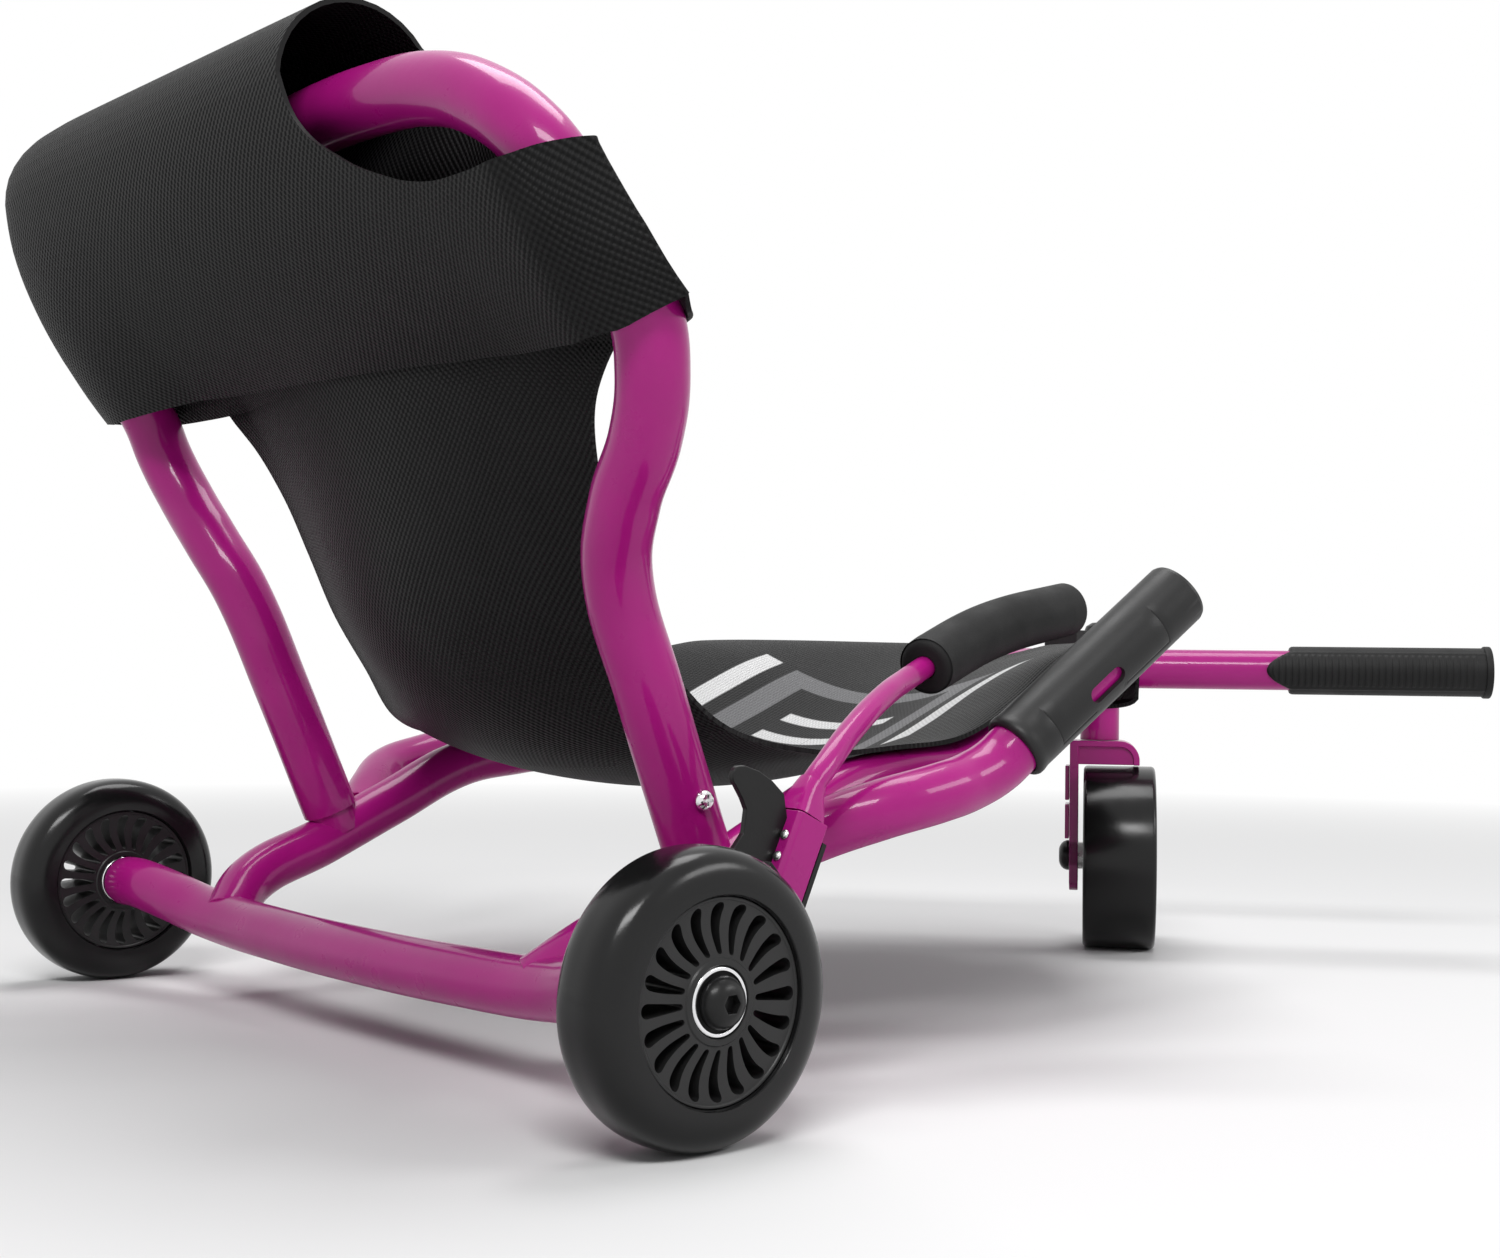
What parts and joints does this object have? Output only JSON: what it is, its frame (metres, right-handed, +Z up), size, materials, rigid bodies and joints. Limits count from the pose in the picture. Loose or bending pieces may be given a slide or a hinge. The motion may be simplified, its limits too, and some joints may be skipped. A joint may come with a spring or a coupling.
{
  "type": "ride-on drifter",
  "caption": "Low ride-on: bent tube frame, fabric sling seat, slotted rear wheels, hand brake, and a front wheel steered with both feet on a bar.",
  "frame": {"origin": "centre of the overall box, at the floor under the tyres", "axes": "+Z up, the front wheel and foot bar at -Y, +X towards the rider's left"},
  "size_m": [0.5962, 0.8606, 0.4972],
  "materials": {
    "magenta_paint": "gloss",
    "tyre_urethane": "gloss",
    "hub_plastic": "semi-gloss",
    "head_plastic": "satin",
    "sleeve_plastic": "fine texture",
    "grip_rubber": "ribbed, matt",
    "grip_foam": "fine foam, matt",
    "shoe_rubber": "matt",
    "sling_fabric": "woven, matt",
    "black_steel": "satin",
    "zinc_steel": "satin",
    "chrome": "polished",
    "bush_bronze": "satin"
  },
  "bodies": {
    "frame": {"back_bolt_left": "chrome", "back_bolt_right": "chrome", "back_stub_left": "magenta_paint", "back_stub_right": "magenta_paint", "back_tube": "magenta_paint", "brake_bracket": "black_steel", "brake_pin": "zinc_steel", "brake_spring": "zinc_steel", "centre_tube": "magenta_paint", "handle_sleeve_left": "sleeve_plastic", "handle_sleeve_right": "sleeve_plastic", "handle_tube_left": "magenta_paint", "handle_tube_right": "magenta_paint", "head_bush_lower": "bush_bronze", "head_bush_upper": "bush_bronze", "head_yoke": "head_plastic", "rear_axle_bolt_left": "black_steel", "rear_axle_bolt_right": "black_steel", "rear_crossbar": "magenta_paint", "rear_spacer_left": "zinc_steel", "rear_spacer_right": "zinc_steel", "rear_washer_left": "zinc_steel", "rear_washer_right": "zinc_steel", "side_rail_left": "magenta_paint", "side_rail_right": "magenta_paint", "sling_seat": "sling_fabric"},
    "rear_wheel_left": {"rear_tyre_left": "tyre_urethane", "rear_hub_left": "hub_plastic", "rear_bearing_outer_left": "chrome", "rear_bearing_inner_left": "chrome"},
    "rear_wheel_right": {"rear_tyre_right": "tyre_urethane", "rear_hub_right": "hub_plastic", "rear_bearing_outer_right": "chrome", "rear_bearing_inner_right": "chrome"},
    "steering": {"steering_post": "magenta_paint", "foot_bar": "magenta_paint", "foot_grip_left": "grip_rubber", "foot_grip_right": "grip_rubber", "pivot_bolt": "black_steel", "fork": "magenta_paint", "fork_plate": "magenta_paint", "front_axle_bolt": "black_steel", "front_axle_nut": "zinc_steel", "front_spacer": "zinc_steel", "front_washer": "zinc_steel"},
    "front_wheel": {"front_tyre": "tyre_urethane", "front_hub": "hub_plastic", "front_bearing_left": "chrome", "front_bearing_right": "chrome"},
    "brake_lever": {"brake_channel": "magenta_paint", "brake_rod": "magenta_paint", "brake_grip": "grip_foam", "brake_plate": "black_steel", "brake_shoe": "shoe_rubber", "brake_rivet_1": "zinc_steel", "brake_rivet_2": "zinc_steel", "brake_rivet_3": "zinc_steel"}
  },
  "joints": [
    {"name": "rear_wheel_left_spin", "type": "hinge", "parent": "frame", "child": "rear_wheel_left", "pos_m": [0.275, 0.3466, 0.06], "axis": [1, 0, 0], "continuous": true},
    {"name": "rear_wheel_right_spin", "type": "hinge", "parent": "frame", "child": "rear_wheel_right", "pos_m": [-0.275, 0.3466, 0.06], "axis": [1, 0, 0], "continuous": true},
    {"name": "steering_turn", "type": "hinge", "parent": "frame", "child": "steering", "pos_m": [0, -0.2534, 0.1956], "axis": [0, 0, 1], "range_deg": [-79.5, 2.5]},
    {"name": "front_wheel_spin", "type": "hinge", "parent": "steering", "child": "front_wheel", "pos_m": [0, -0.2534, 0.0635], "axis": [0.7826, 0.6225, 0], "continuous": true},
    {"name": "brake_lever_turn", "type": "hinge", "parent": "frame", "child": "brake_lever", "pos_m": [-0.231, 0.2696, 0.085], "axis": [-1, 0, 0], "range_deg": [0, 10], "stiffness_Nm_per_rad": 2, "springref_deg": -11.46}
  ]
}
